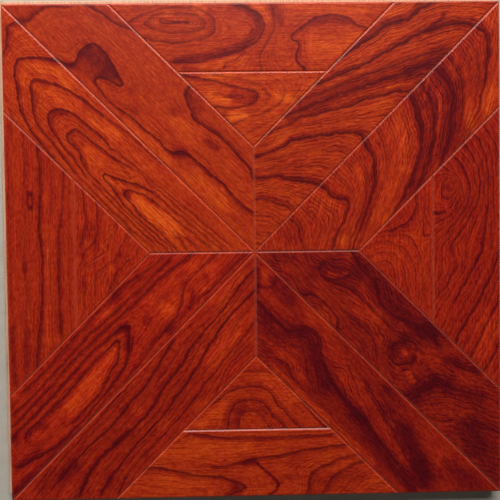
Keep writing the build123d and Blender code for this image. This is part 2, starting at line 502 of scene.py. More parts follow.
FIGURES["strip_south_east"] = Figure(
    -0.08,
    [
        Ring(0, 0.5, [(95, -4), (110, -4.5), (125, -5), (140, -5), (155, -5)]),
        Ring(2, 0.6, [
            (118, -9.5), (128, -11), (135, -12.5), (146, -14.5), (160, -19), (175, -23), (190, -28),
            (205, -33), (218, -36), (232, -39),
        ]),
        Ring(4, 0.9, [
            (27, -26), (40, -28), (50, -28.5), (60, -28), (66, -26), (70, -20), (74, -16.5), (80, -14.5),
            (86, -15.5), (90, -20), (95, -24), (101, -26), (108, -28), (116, -31), (125, -33), (135, -35),
            (148, -37), (160, -38), (175, -41), (190, -44), (207, -46.5), (228, -48.5),
        ]),
        Ring(6, 0.6, [
            (40, -38), (55, -38), (66, -35), (72, -27), (76, -22), (82, -20), (87, -23), (92, -28),
            (100, -33), (108, -38), (115, -43), (125, -43), (140, -43), (155, -45),
        ]),
        Ring(8, 0.6, [
            (52, -48), (62, -46), (72, -36), (78, -30), (83, -28.5), (88, -32), (95, -37), (102, -42),
            (110, -47.5), (120, -49.5), (130, -47), (142, -46.5),
        ]),
        Ring(10, 0.7, [
            (64, -57), (68, -54), (72, -49), (80, -47.5), (88, -48), (94, -51), (102, -52), (112, -53),
            (122, -52.5), (132, -50), (148, -50), (170, -50.5), (190, -52),
        ]),
        Ring(3, 0.0, [(150, -26), (165, -29.5), (180, -33.5), (195, -37.5), (212, -41.5), (230, -44)]),
        Ring(12, 0.5, [(75, -57), (90, -57.5), (110, -57), (130, -56), (150, -56), (175, -56), (200, -57)]),
    ],
    [
        Stroke(-0.3, 8, [(32, -4), (46, -7)]),
        Stroke(0.15, 6, [(32, -18), (42, -20)]),
        Stroke(-0.35, 6, [(70, -25), (74, -19), (81, -17), (88, -22), (96, -27), (106, -31), (118, -35)]),
        Stroke(-0.25, 7, [(104, -36), (116, -44)]),
        Stroke(-0.25, 5, [(120, -35), (140, -37), (158, -36)]),
        Stroke(0.2, 8, [(70, -5), (90, -6)]),
        Stroke(0.2, 7, [(104, -13), (118, -18), (132, -22), (148, -25)]),
        Stroke(0.2, 5, [(74, -44), (95, -46)]),
        Stroke(0.45, 3, [(76, -57), (110, -57), (150, -56), (190, -57)]),
        Stroke(-0.25, 8, [(160, -6), (170, -14)]),
        Stroke(-0.45, 6.5, [(150, -39), (180, -43.5), (207, -46.5), (228, -48)]),
        Stroke(-0.4, 8, [(186, -19), (206, -26), (229, -36)]),
        Stroke(-0.25, 8, [(222, -32), (233, -35)]),
        Stroke(-0.2, 9, [(250, -14), (268, -9)]),
        Stroke(0.15, 9, [(178, -30), (200, -36)]),
        Stroke(0.15, 10, [(205, -7), (228, -10)]),
        Stroke(-0.25, 8, [(35, -32), (55, -34), (64, -34)]),
        Stroke(0.25, 5, [(18, -6)]),
        Stroke(-0.35, 2, [(12, -8), (20, -16), (24, -23)]),
        Stroke(-0.3, 1.5, [
            (30, -27), (50, -28), (64, -28), (69, -22), (72, -16), (79, -12.5), (87, -13.5), (92, -19),
            (100, -24), (110, -28.5), (122, -33), (140, -35), (160, -36.5), (180, -40), (205, -43),
        ]),
        Stroke(-0.2, 6, [(75, -23), (84, -25), (92, -30)]),
        Stroke(0.2, 1.8, [(60, -46), (70, -44), (82, -42.5), (94, -44), (104, -48)]),
        Stroke(-0.3, 1.5, [(27, -3), (29.5, -8), (28, -14), (22, -18)]),
        Stroke(0.15, 4, [(16, -5), (22, -11)]),
        Stroke(-0.2, 9, [(192, -16), (212, -24)]),
        Stroke(-0.15, 9, [(240, -16), (258, -14)]),
    ],
    layers=3,
    wave=0.7,
    bold=1.6,
    fine=0.4,
    warm=0.92,
)

FIGURES["strip_east_south"] = Figure(
    -0.11,
    [
        Ring(2, 0.7, [(54, 2), (56, 7), (62, 9.5), (72, 9.7), (80, 9), (88, 7), (92, 2)]),
        Ring(4, 0.5, [
            (22, 16), (30, 19), (40, 18), (50, 17), (60, 16), (75, 15.5), (90, 15), (100, 16.5),
            (110, 17), (122, 14), (130, 8),
        ]),
        Ring(6, 0.7, [
            (32, 26), (40, 23), (47, 26), (52, 24), (58, 24), (64, 26), (70, 29), (76, 31.5), (84, 33),
            (95, 33), (110, 32), (122, 32),
        ]),
        Ring(8, 0.7, [
            (58, 54), (70, 50), (80, 50), (86, 49.5), (93, 47), (98, 42.5), (103, 40.5), (110, 40),
            (118, 41), (126, 44.5), (135, 48), (148, 50), (160, 50),
        ]),
        Ring(6, 0.55, [
            (134, 25), (135, 18), (141, 13.5), (149, 15), (153, 20), (157, 27), (153, 33), (145, 37),
            (138, 33),
        ]),
        Ring(6.4, 0.0, [(144, 24), (148, 27)]),
        Ring(6, 0.5, [(168, 43), (180, 46.5), (190, 51), (197, 56)]),
        Ring(4, 0.4, [(172, 3), (178, 14), (182, 24), (192, 32), (205, 38), (218, 45)]),
        Ring(2, 0.4, [(200, 3), (212, 12), (225, 20), (238, 28), (246, 32)]),
    ],
    [
        Stroke(-0.35, 8.5, [(72, 53), (90, 52), (105, 48), (120, 48), (135, 51), (150, 55)]),
        Stroke(0.35, 4, [(74, 5), (84, 5)]),
        Stroke(-0.25, 8, [(48, 31), (58, 40), (70, 40)]),
        Stroke(0.35, 1.6, [(56, 30), (61, 34), (66, 39)]),
        Stroke(-0.2, 7, [(18, 7)]),
        Stroke(0.2, 10, [(92, 30), (110, 30)]),
        Stroke(0.1, 9, [(60, 18), (80, 16)]),
        Stroke(-0.3, 6, [(137, 20), (136, 30), (142, 40)]),
        Stroke(0.45, 1.8, [(144, 26), (148, 27)]),
        Stroke(0.45, 3, [(160, 16), (165, 14)]),
        Stroke(0.3, 2, [(149, 32), (154, 33)]),
        Stroke(0.25, 2.5, [(150, 12)]),
        Stroke(0.15, 6, [(160, 38), (178, 38)]),
        Stroke(-0.3, 5, [(176, 46), (188, 52), (197, 57)]),
        Stroke(0.15, 6, [(196, 45)]),
        Stroke(-0.25, 8, [(190, 32), (202, 36), (215, 41)]),
        Stroke(-0.3, 9, [(177, 8), (178, 20), (184, 30)]),
        Stroke(0.12, 9, [(205, 8), (210, 20)]),
        Stroke(-0.25, 10, [(228, 18), (242, 14)]),
        Stroke(-0.2, 5, [(152, 24)]),
        Stroke(-0.25, 7, [(145, 52), (160, 56)]),
        Stroke(-0.2, 14, [(232, 24), (250, 12), (265, 6)]),
        Stroke(-0.3, 1.5, [(46, 33), (46, 27), (50, 24), (57, 24.5), (62, 28), (66, 34), (68, 40)]),
        Stroke(-0.3, 1.6, [(86, 52), (94, 47), (99, 42), (108, 39.5), (118, 41), (128, 45), (140, 48)]),
        Stroke(-0.3, 1.4, [(54, 2), (55.5, 6.5), (62, 9), (74, 9.5), (86, 8), (91, 3)]),
        Stroke(0.15, 5, [(95, 25), (108, 31)]),
        Stroke(-0.25, 6, [(172, 5), (176, 16), (177, 27)]),
    ],
    layers=3,
    wave=0.7,
    bold=1.6,
    fine=0.4,
)

FIGURES["triangle_north"] = Figure(
    0.41,
    [
        Ring(0, 0.8, [
            (-56, 143.5), (-48, 141), (-40, 139.7), (-30, 138), (-22, 135.5), (-14, 133.5), (-7, 131.5),
            (0, 130.5), (4, 128.5), (5.5, 125.5), (3.5, 122), (-3, 118), (-11, 115.5), (-20, 115.3),
            (-29, 116.5),
        ]),
        Ring(1, 0.3, [(-32, 127), (-20, 126), (-8, 125)]),
        Ring(-1, 0.3, [
            (-30, 143), (-10, 139.5), (4, 135.5), (12, 131), (14, 124), (8, 116), (0, 111.5), (-8, 111.5),
        ]),
        Ring(-2, 0.6, [
            (-15, 102.5), (-10, 104.5), (-6, 107), (-1, 109.5), (6, 110.5), (14, 113), (20, 117.5),
            (24, 122),
        ]),
        Ring(-3, 0.3, [(0, 98), (8, 101), (18, 107), (28, 117), (38, 130)]),
    ],
    [
        Stroke(0.7, 4, [(-17, 109.5), (-9, 109)]),
        Stroke(0.35, 5, [(-33, 124), (-22, 122)]),
        Stroke(0.45, 4.5, [(21, 126.5), (28, 122.5)]),
        Stroke(0.25, 3, [(-40, 142.5), (-15, 141)]),
        Stroke(-0.4, 5, [(-14, 126), (-4, 124), (0, 122)]),
        Stroke(-0.25, 4, [(2, 127)]),
        Stroke(-0.35, 1, [(12, 134.5), (16, 130.5), (21, 127), (26, 126)]),
        Stroke(-0.35, 1, [(8, 131), (13, 126), (18, 124)]),
    ],
    warm=1.1,
)

FIGURES["triangle_east"] = Figure(
    0.16,
    [
        Ring(4, 0.35, [(99, -10), (106, -8), (112, -12), (115, -22)]),
        Ring(3, 0.35, [(95, -4), (104, -1), (112, -2), (118, -8), (122, -18), (124, -32)]),
        Ring(2, 0.35, [
            (90, 3), (100, 7), (110, 7), (118, 4), (124, -1), (129, -12), (132, -25), (134, -40),
        ]),
        Ring(1, 0.3, [
            (97, 10), (104, 11), (114, 12), (124, 12), (131, 6), (135, -5), (137, -20), (139, -45),
        ]),
        Ring(0, 0.85, [(102, 14.5), (109, 16), (117, 18.5), (124, 22.5), (129, 28), (131, 36), (131, 42)]),
        Ring(1, 0.3, [(138, 48), (138, 25), (137, 12)]),
    ],
    [
        Stroke(-0.2, 4, [(112, 14), (120, 19)]),
        Stroke(0.12, 14, [(108, 0), (128, -5)]),
    ],
    layers=3,
    wave=0.5,
    fine=0.3,
    warm=0.9,
)

FIGURES["triangle_west"] = Figure(
    0.25,
    [
        Ring(0, 0.6, [(-139, 52), (-137, 35), (-137, 20), (-140, 8)]),
        Ring(1, 0.5, [(-127, 40), (-126, 28), (-127, 18), (-131, 9), (-138, 1), (-141, -8)]),
        Ring(2, 0.45, [
            (-112, 24), (-116, 16), (-122, 8), (-121, 1), (-128, -4), (-136, -9), (-139, -18), (-139, -40),
        ]),
        Ring(3, 0.4, [
            (-104, 14), (-109, 6), (-112, -2), (-119, -8), (-127, -14), (-130, -24), (-130, -42),
        ]),
        Ring(4, 0.35, [(-93, 5), (-98, -3), (-106, -9), (-113, -16), (-118, -28)]),
    ],
    [
        Stroke(-0.3, 6, [(-130, 18), (-128, 10)]),
        Stroke(-0.2, 2.5, [(-141, 20), (-138, -2), (-141, -30)]),
        Stroke(-0.2, 5, [(-108, -2), (-116, -22)]),
        Stroke(0.4, 1.2, [
            (-113, 20), (-118, 12), (-122, 6), (-119, 0), (-127, -4), (-136, -9), (-139, -16),
        ]),
        Stroke(0.3, 3, [(-116, -12)]),
    ],
    wave=0.6,
    fine=0.25,
    warm=0.9,
)

FIGURES["triangle_south"] = Figure(
    0.21,
    [
        Ring(3, 0.5, [(-10, -98), (0, -97.5), (10, -99)]),
        Ring(2, 0.7, [
            (-34, -123), (-25, -116), (-17, -112), (-7, -110), (4, -110.5), (9, -113), (13, -119),
            (17, -126),
            (24, -132), (28, -138), (34, -143),
        ]),
        Ring(1, 0.75, [
            (-23.5, -146), (-23, -138), (-21, -129), (-17, -123.5), (-11, -121), (-3, -121), (4, -122.5),
            (9, -128), (12, -134), (18, -138), (22, -143),
        ]),
        Ring(0, 0.5, [
            (-15, -146), (-14.5, -138), (-11, -131), (-5, -129), (0, -131), (5, -136), (9, -143),
        ]),
        Ring(1.5, 0.0, [(-46, -142), (-36, -138), (-30, -128)]),
        Ring(3, 0.6, [(38, -125), (43, -130), (47, -136), (51, -140), (54, -143)]),
    ],
    [
        Stroke(-0.35, 4.5, [(-18, -138), (-16, -130), (-11, -125)]),
        Stroke(-0.25, 3.5, [(1, -125), (7, -131)]),
        Stroke(0.35, 5, [(-28, -127), (-46, -140)]),
        Stroke(-0.2, 1, [(-50, -143), (-38, -142), (-26, -143)]),
        Stroke(-0.2, 1, [(-44, -137), (-35, -136), (-26, -137)]),
        Stroke(0.2, 10, [(10, -105), (25, -118)]),
    ],
)

FIGURES["border_north"] = Figure(
    0.3,
    [
        Ring(5, 0.6, [(-73, 187), (-72, 184), (-66, 183.5), (-58, 184), (-50, 184.5)]),
        Ring(4, 0.5, [
            (-86, 184), (-80, 190), (-68, 192.5), (-55, 192), (-44, 190), (-38, 186.5), (-37, 182),
            (-42, 178), (-52, 176), (-65, 176), (-78, 178.5), (-86, 184),
        ]),
        Ring(3, 0.6, [
            (-97, 187), (-88, 191), (-75, 195), (-60, 197.5), (-45, 196), (-33, 191), (-29, 185),
            (-30, 177),
            (-38, 171), (-50, 168.5), (-62, 168), (-75, 169), (-86, 171.5),
        ]),
        Ring(2, 0.7, [
            (-62, 152.5), (-50, 152.5), (-40, 153), (-30, 155.5), (-20, 158.5), (-10, 161), (-2, 164.5),
            (4, 168.5), (8.5, 174), (10.5, 181), (9, 187), (5, 191.5), (0, 194.5), (-8, 198),
        ]),
        Ring(1, 0.5, [
            (8, 148), (6, 154), (6.5, 158), (10, 164), (15, 172), (19, 181), (18, 190), (16.5, 199),
        ]),
        Ring(0, 0.75, [
            (41, 147), (36, 152), (34.5, 156), (36, 160), (38, 164), (37, 168), (30, 172), (35, 177),
            (42, 182), (50, 187), (60, 189.5), (70, 189.5), (78, 187), (83, 182.5), (91, 179.5),
        ]),
        Ring(0.5, 0.0, [(52, 160), (65, 165), (80, 172)]),
        Ring(-0.5, 0.0, [(28, 160), (25, 172), (32, 190), (60, 196), (85, 192)]),
    ],
    [
        Stroke(-0.45, 3.5, [
            (-60, 154.5), (-45, 155.5), (-30, 159), (-18, 161.5), (-8, 166), (0, 173), (5, 181), (3, 189),
            (-4, 195), (-14, 199),
        ]),
        Stroke(0.4, 3, [(2, 198), (8, 194), (12, 188)]),
        Stroke(0.4, 4, [(-44, 197), (-40, 192)]),
        Stroke(0.25, 4, [(-68, 192)]),
        Stroke(0.25, 9, [(50, 165), (70, 165), (85, 173)]),
        Stroke(0.25, 7, [(35, 196), (60, 196), (90, 192)]),
        Stroke(-0.35, 4, [(50, 183.5), (62, 186), (74, 185)]),
        Stroke(-0.35, 3, [(18, 198), (20, 190), (24, 183)]),
        Stroke(-0.3, 3, [(-55, 147.5), (-45, 148)]),
        Stroke(-0.5, 1, [(-23, 147.5), (-21, 152), (-14, 153.5), (-10, 157), (-6, 160)]),
        Stroke(0.2, 4, [(-50, 150), (-30, 151), (-10, 155)]),
    ],
    warm=1.1,
)

FIGURES["border_east"] = Figure(
    0.12,
    [
        Ring(10, 0.6, [
            (153, 42), (151.5, 47), (153, 53), (155.5, 57.5), (160, 58), (164, 55), (165, 50), (163, 44),
            (158, 40), (153, 42),
        ]),
        Ring(8, 0.7, [
            (157, 65), (162, 60), (166, 55), (168, 48), (167, 40), (164, 33), (159, 27), (154, 24),
        ]),
        Ring(6, 0.7, [
            (154, 82), (163, 76), (167, 71), (171, 65), (174, 58), (176, 50), (175, 41), (172, 34),
            (168, 27), (163, 21), (157, 14),
        ]),
        Ring(4, 0.8, [
            (163, 92), (171, 86), (176, 79), (180, 72), (183, 64), (184, 55), (184, 46), (182, 38),
            (178, 30), (174, 23), (168, 13), (160, 4),
        ]),
        Ring(2, 0.8, [
            (172, 101), (178, 95), (184, 87), (188, 78), (190, 68), (191, 58), (191, 48), (190, 35),
            (189, 20), (187, 8), (185, -2), (181, -10), (176, -20), (170, -30), (164, -41),
        ]),
        Ring(0, 0.7, [(180, 108), (186, 101), (192, 93), (196, 85), (199, 77)]),
        Ring(0, 0.9, [
            (199, -5), (195, -17), (190, -28), (184, -41), (178, -50), (173, -58), (168, -68), (165, -74),
        ]),
        Ring(-2, 0.8, [(199, -40), (197, -47), (192, -57), (187, -66), (183, -75), (178, -83), (175, -90)]),
        Ring(-4, 0.7, [(200, -77), (195, -87), (188, -98), (182, -108)]),
        Ring(4, 0.5, [(165, -15), (160, -22), (155, -32), (150, -37)]),
    ],
    [
        Stroke(-0.5, 1.4, [(146, 30), (150, 28.5), (155, 30)]),
        Stroke(-0.3, 3, [(157, 49)]),
        Stroke(0.3, 10, [(185, -85), (190, -60)]),
    ],
    layers=2,
    wave=0.4,
    bold=1.2,
    fine=0.32,
    warm=0.85,
)

FIGURES["border_south"] = Figure(
    0.28,
    [
        Ring(0, 0.5, [(-55, -147), (-40, -149.5), (-20, -151), (20, -151), (60, -150)]),
        Ring(1, 0.75, [
            (-34, -175), (-26, -174), (-18, -172.5), (-8, -170.5), (0, -169), (10, -167.5), (20, -166),
            (30, -164), (40, -162), (50, -161), (60, -159.5), (70, -158.5),
        ]),
        Ring(2, 0.85, [
            (-92, -174.5), (-85, -174), (-78, -175), (-70, -177), (-62, -179), (-52, -181), (-42, -182),
            (-32, -183), (-25, -185), (-18, -187), (-10, -191.5), (-14, -195), (-26, -200),
        ]),
        Ring(2, 0.7, [
            (78, -167.5), (70, -169), (62, -172), (55, -175), (48, -179), (43, -183), (41, -190),
            (40, -199),
        ]),
        Ring(3, 0.7, [(88, -171), (80, -174), (72, -178), (64, -183), (58, -189), (52, -199)]),
        Ring(1.5, 0.0, [(-2, -180), (2, -193), (25, -183), (28, -197)]),
        Ring(2.45, 0.0, [(-85, -188), (-60, -190), (-35, -191)]),
        Ring(0.5, 0.0, [(-75, -163), (-50, -164), (-20, -160), (20, -157)]),
    ],
    [
        Stroke(-0.35, 1.3, [(-52, -149), (-40, -151), (-20, -153), (0, -153.5), (30, -152.5), (60, -151)]),
        Stroke(-0.4, 5, [(-20, -191)]),
        Stroke(-0.45, 4, [(-10, -171), (-2, -171)]),
        Stroke(-0.75, 1.2, [
            (0, -173), (5, -178), (10, -182), (15, -187), (17, -190), (15, -195), (10, -199),
        ]),
        Stroke(-0.15, 7, [(8, -180), (12, -190)]),
        Stroke(0.2, 7, [(-75, -165), (-45, -160), (-10, -158)]),
        Stroke(-0.15, 9, [(35, -175), (25, -185)]),
        Stroke(-0.25, 8, [(42, -194), (62, -190), (80, -184)]),
        Stroke(0.15, 6, [(-75, -186), (-45, -189)]),
    ],
    bold=1.2,
    warm=1.05,
)

FIGURES["border_west"] = Figure(
    0.15,
    [
        Ring(0, 0.25, [(-197, 100), (-198, 40), (-197, -40), (-196.5, -100)]),
        Ring(1, 0.25, [
            (-185, 95), (-184, 70), (-186, 44), (-184, 20), (-187, -10), (-185, -30), (-186, -60),
            (-188, -95),
        ]),
        Ring(2, 0.75, [
            (-174, 88), (-172, 72), (-172, 62), (-173, 42), (-174, 22), (-172, 2), (-171.5, -10),
            (-172, -35),
            (-174, -55), (-175.5, -65), (-178, -88),
        ]),
        Ring(3, 0.25, [(-164, 80), (-163, 50), (-165, 20), (-166, -10), (-165, -40), (-166, -75)]),
        Ring(4, 0.65, [
            (-153, 68), (-154, 48), (-156, 28), (-158, 18), (-159, -2), (-159, -22), (-158.5, -35),
            (-158, -63),
        ]),
        Ring(5, 0.2, [(-149, 60), (-150, 20), (-151, -20), (-149, -60)]),
    ],
    [
        Stroke(-0.7, 2.8, [(-180, 38), (-180, 49)]),
        Stroke(0.6, 1.3, [(-180, 41), (-180, 46)]),
        Stroke(-0.4, 2, [(-185, -13), (-185, -7)]),
        Stroke(-0.15, 2.5, [(-172.5, 70), (-173, 20), (-172, -20), (-175, -62), (-178, -90)]),
        Stroke(-0.15, 4, [(-158, 10), (-160, -40), (-159, -60)]),
        Stroke(-0.3, 3, [(-197, -60), (-195, -105)]),
        Stroke(-0.25, 3.5, [(-184, -62), (-186, -100)]),
        Stroke(0.15, 5, [(-165, 30), (-166, -30), (-167, -70)]),
    ],
    bold=1.2,
    fine=0.1,
    warm=0.94,
)


class ParquetBoard(bpy.types.PropertyGroup):
    """Sizes of the face pieces"""

    side: bpy.props.FloatProperty(
        name="Side", description="Side of the square face", default=SIDE, unit="LENGTH", precision=4)
    strip_width: bpy.props.FloatProperty(
        name="Strip width", description="Width of one diagonal strip", default=STRIP_WIDTH, unit="LENGTH",
        precision=4)
    border_width: bpy.props.FloatProperty(
        name="Border width", description="Width of the border pieces", default=BORDER_WIDTH, unit="LENGTH",
        precision=4)
    face_bottom: bpy.props.FloatProperty(
        name="Face bottom", description="Height of the glue line", default=FACE_BOTTOM, unit="LENGTH",
        precision=4)
    face_top: bpy.props.FloatProperty(
        name="Face top", description="Height of the lacquered face", default=FACE_TOP, unit="LENGTH",
        precision=4)
    bevel_width: bpy.props.FloatProperty(
        name="Bevel width", description="Width of the eased edge", default=0.0013, unit="LENGTH", precision=5)
    bevel_depth: bpy.props.FloatProperty(
        name="Bevel depth", description="Depth of the eased edge", default=0.00072, unit="LENGTH",
        precision=5)
    cell: bpy.props.FloatProperty(
        name="Cell", description="Spacing of the points that carry the grain", default=0.0009, unit="LENGTH",
        precision=5)


class ParquetStage(bpy.types.PropertyGroup):
    """Camera, lamps and floor"""

    lens: bpy.props.FloatProperty(
        name="Lens", description="Focal length on a 36 mm sensor", default=46.8, unit="CAMERA")
    camera_place: bpy.props.FloatVectorProperty(
        name="Camera place", description="Where the camera hangs above the face", size=3,
        default=(-0.01298, 0.01502, 0.54087), subtype="TRANSLATION", precision=5)
    camera_tilt: bpy.props.FloatVectorProperty(
        name="Camera tilt", description="Small turn of the camera from straight down, as axis times angle",
        size=3, default=(-0.02574, -0.0175, -0.01356), precision=5)
    key_strength: bpy.props.FloatProperty(
        name="Key strength", description="Brightness of the high north softbox", default=10.2, min=0.0)
    low_strength: bpy.props.FloatProperty(
        name="Low strength", description="Brightness of the low north softbox", default=5.2, min=0.0)
    fill_strength: bpy.props.FloatProperty(
        name="Fill strength", description="Brightness of the side softboxes", default=0.35, min=0.0)


def place(points, angle):
    """Points along and across an arm, turned into the board's x and y."""
    a = math.radians(angle)
    p = np.asarray(points, float)
    along = p[:, 0]
    across = p[:, 1]
    return np.column_stack([
        along * math.cos(a) - across * math.sin(a),
        along * math.sin(a) + across * math.cos(a),
    ])


def resample(points, spacing):
    """Points at an even spacing along a line."""
    p = np.asarray(points, float)
    if len(p) == 1:
        return p
    steps = np.hypot(*np.diff(p, axis=0).T)
    run = np.concatenate([[0.0], np.cumsum(steps)])
    count = max(2, int(round(run[-1] / spacing)) + 1)
    at = np.linspace(0.0, run[-1], count)
    return np.column_stack([np.interp(at, run, p[:, k]) for k in range(2)])


def squared_distance(a, b):
    """Squared distance from every point of a to every point of b."""
    return (a[:, None, 0] - b[None, :, 0]) ** 2 + (a[:, None, 1] - b[None, :, 1]) ** 2


def plate(d2):
    """Kernel of a thin plate, with the squared distance."""
    return 0.5 * d2 * np.log(d2 + 1e-9)


class RingField:
    """A smooth field that takes each ring's number along that ring, like a bent thin plate."""

    SCALE = 60.0
    STIFFNESS = 2e-4
    SPACING = 4.5
    PROBE = 0.3
    GAP_RANGE = (1.5, 40.0)
    SMALLEST_SLOPE = 1e-6
    SOFTNESS = 6.0
    REACH = 4.5
    FAINT = 0.25

    def __init__(self, rings, to_board):
        lines = [to_board(resample(r.points, self.SPACING)) for r in rings]
        self.points = np.concatenate(lines)
        self.numbers = np.concatenate([np.full(len(p), float(r.number)) for p, r in zip(lines, rings)])
        self.strengths = np.concatenate([np.full(len(p), float(r.strength)) for p, r in zip(lines, rings)])
        self.middle = self.points.mean(0)
        p = (self.points - self.middle) / self.SCALE
        n = len(p)
        system = np.zeros((n + 3, n + 3))
        system[:n, :n] = plate(squared_distance(p, p)) + self.STIFFNESS * np.eye(n)
        system[:n, n] = 1.0
        system[:n, n + 1:] = p
        system[n:, :n] = system[:n, n:].T
        answer = np.linalg.solve(system, np.concatenate([self.numbers, np.zeros(3)]))
        self.weights = answer[:n]
        self.flat = answer[n:]
        self.nodes = p

    def number(self, xy):
        """The ring number at points in millimetres."""
        q = (xy - self.middle) / self.SCALE
        return plate(squared_distance(q, self.nodes)) @ self.weights + self.flat[0] + q @ self.flat[1:]

    def gap(self, xy, number):
        """Millimetres from one ring to the next."""
        across = (self.number(xy + [self.PROBE, 0.0]) - number) / self.PROBE
        up = (self.number(xy + [0.0, self.PROBE]) - number) / self.PROBE
        return np.clip(1.0 / np.maximum(np.hypot(across, up), self.SMALLEST_SLOPE), *self.GAP_RANGE)

    def strength(self, xy):
        """How dark the rings are near each point; lines that no ring was drawn for stay faint."""
        d2 = squared_distance(xy, self.points)
        weight = 1.0 / (d2 + self.SOFTNESS) ** 2
        near = np.sqrt(d2.min(1))
        mean = weight @ self.strengths / weight.sum(1)
        return mean * (self.FAINT + (1.0 - self.FAINT) * np.exp(-((near / self.REACH) ** 2)))


def strip_guide(board, arm):
    """Brings points along and across an arm onto the board."""
    widen = board.strip_width / MM / TRACED_STRIP

    def to_board(points):
        return place(np.asarray(points, float) * [1.0, widen], arm)

    return to_board


def sector_guide(board, side):
    """Brings points of a triangle or border onto the board."""
    half = board.side / 2 / MM
    root = math.sqrt(2)
    traced = [0.0, TRACED_STRIP * root, half - TRACED_BORDER, half]
    built = [0.0, board.strip_width / MM * root, half - board.border_width / MM, half]
    axis = 1 if side in ("north", "south") else 0
    sign = 1.0 if side in ("north", "east") else -1.0

    def to_board(points):
        p = np.array(points, float)
        p[:, axis] = sign * np.interp(sign * p[:, axis], traced, built)
        return p

    return to_board


def turbulence(spots, octaves, offset):
    """A pair of smooth random numbers for each point, the same in every run."""
    seed_set(GRAIN_SEED)
    return np.array([turbulence_vector((a, b, offset), octaves, False)[:2] for a, b in spots.tolist()])


def ragged_shift(xy, grain_angle, offset):
    """Small shifts along and across the grain that give soft streaks fibrous edges."""
    spots = place(xy, -grain_angle) / RAGGED_SIZE
    return place(turbulence(spots, 3, offset) * RAGGED_REACH, grain_angle)


def wave_shift(xy, offset):
    """Small shifts the same every way that make the rings wavy."""
    return turbulence(xy / WAVE_SIZE, 2, offset) * WAVE_REACH


def stroke_tone(figure, to_board, xy, shift):
    """Tone of the wood at each point: the piece's own and its streaks, broad ones with fibrous edges."""
    tone = np.full(len(xy), float(figure.tone))
    for s in figure.strokes:
        line = to_board(resample(s.points, max(SHORTEST_STEP, STROKE_STEP * s.width)))
        spots = xy + shift * min(1.0, (s.width / FIBROUS_WIDTH) ** 2)
        d2 = squared_distance(spots, line).min(1)
        tone += s.amount * np.exp(-((d2 / s.width ** 2) ** STROKE_EDGE))
    return tone


def set_attribute(mesh, name, values):
    """Stores one number for each point of the mesh."""
    attribute = mesh.attributes.new(name, "FLOAT", "POINT")
    attribute.data.foreach_set("value", np.asarray(values, np.float32))


def mesh_points(mesh):
    """The mesh's points as an array in metres."""
    co = np.zeros(len(mesh.vertices) * 3, np.float32)
    mesh.vertices.foreach_get("co", co)
    return co.reshape(-1, 3).astype(float)


def store_grain(mesh, name, to_board, grain_angle, offset):
    """Gives a face piece its ring numbers, spacing, darkness and tone, and a map along the grain."""
    xy = mesh_points(mesh)[:, :2] / MM
    figure = FIGURES[name]
    if figure.grain is not None:
        grain_angle = figure.grain
    shift = ragged_shift(xy, grain_angle, offset)
    wavy = xy + wave_shift(xy, offset) * figure.wave
    field = RingField(figure.rings, to_board)
    number = field.number(wavy)
    set_attribute(mesh, "ring", number)
    set_attribute(mesh, "gap", field.gap(wavy, number))
    set_attribute(mesh, "strength", field.strength(wavy))
    for trait in ("layers", "bold", "fine", "warm"):
        set_attribute(mesh, trait, np.full(len(xy), getattr(figure, trait)))
    set_attribute(mesh, "tone", stroke_tone(figure, to_board, xy, shift))
    flat = place(xy, -grain_angle) * MM + [offset, SHIFT_ACROSS * offset]
    corners = np.zeros(len(mesh.loops), np.int32)
    mesh.loops.foreach_get("vertex_index", corners)
    layer = mesh.uv_layers.new(name="grain")
    layer.uv.foreach_set("vector", flat[corners].astype(np.float32).ravel())


def turned(points, turn):
    """Outline points turned about the board's middle."""
    m = Matrix.Rotation(math.radians(turn), 3, "Z")
    return [m @ Vector((x, y, 0.0)) for x, y in points]


def miters(corners):
    """For each corner of an outline run anticlockwise, the step that insets both its edges by one."""
    found = []
    for i, c in enumerate(corners):
        before = (c - corners[i - 1]).normalized()
        after = (corners[(i + 1) % len(corners)] - c).normalized()
        n1 = Vector((-before.y, before.x, 0.0))
        n2 = Vector((-after.y, after.x, 0.0))
        found.append((n1 + n2) / (1.0 + n1.dot(n2)))
    return found


class NodeMaker:
    """Short calls for building a node tree."""

    def __init__(self, tree):
        self.tree = tree

    def add(self, kind, inputs=None, **settings):
        node = self.tree.nodes.new(kind)
        for key, value in settings.items():
            setattr(node, key, value)
        for key, value in (inputs or {}).items():
            self.put(node.inputs[key], value)
        return node

    def put(self, socket, value):
        if isinstance(value, bpy.types.NodeSocket):
            self.tree.links.new(value, socket)
        else:
            socket.default_value = value

    def math(self, operation, *values, clamp=False):
        node = self.add("ShaderNodeMath", operation=operation, use_clamp=clamp)
        for socket, value in zip(node.inputs, values):
            self.put(socket, value)
        return node.outputs[0]

    def vector(self, operation, *values):
        node = self.add("ShaderNodeVectorMath", operation=operation)
        for socket, value in zip(node.inputs, values):
            self.put(socket, value)
        return node.outputs[0]


def lamella_sockets(face):
    """What a face piece is given, and what it gives back."""
    for number in range(1, 5):
        face.new_socket(f"Corner {number}", in_out="INPUT", socket_type="NodeSocketVector")
    for number in range(1, 5):
        face.new_socket(f"Miter {number}", in_out="INPUT", socket_type="NodeSocketVector")
    for name in ("Top", "Bottom", "Bevel Width", "Bevel Depth"):
        face.new_socket(name, in_out="INPUT", socket_type="NodeSocketFloat")
    for name in ("Columns", "Rows"):
        face.new_socket(name, in_out="INPUT", socket_type="NodeSocketInt")
    face.new_socket("Material", in_out="INPUT", socket_type="NodeSocketMaterial")
    face.new_socket("Geometry", in_out="OUTPUT", socket_type="NodeSocketGeometry")


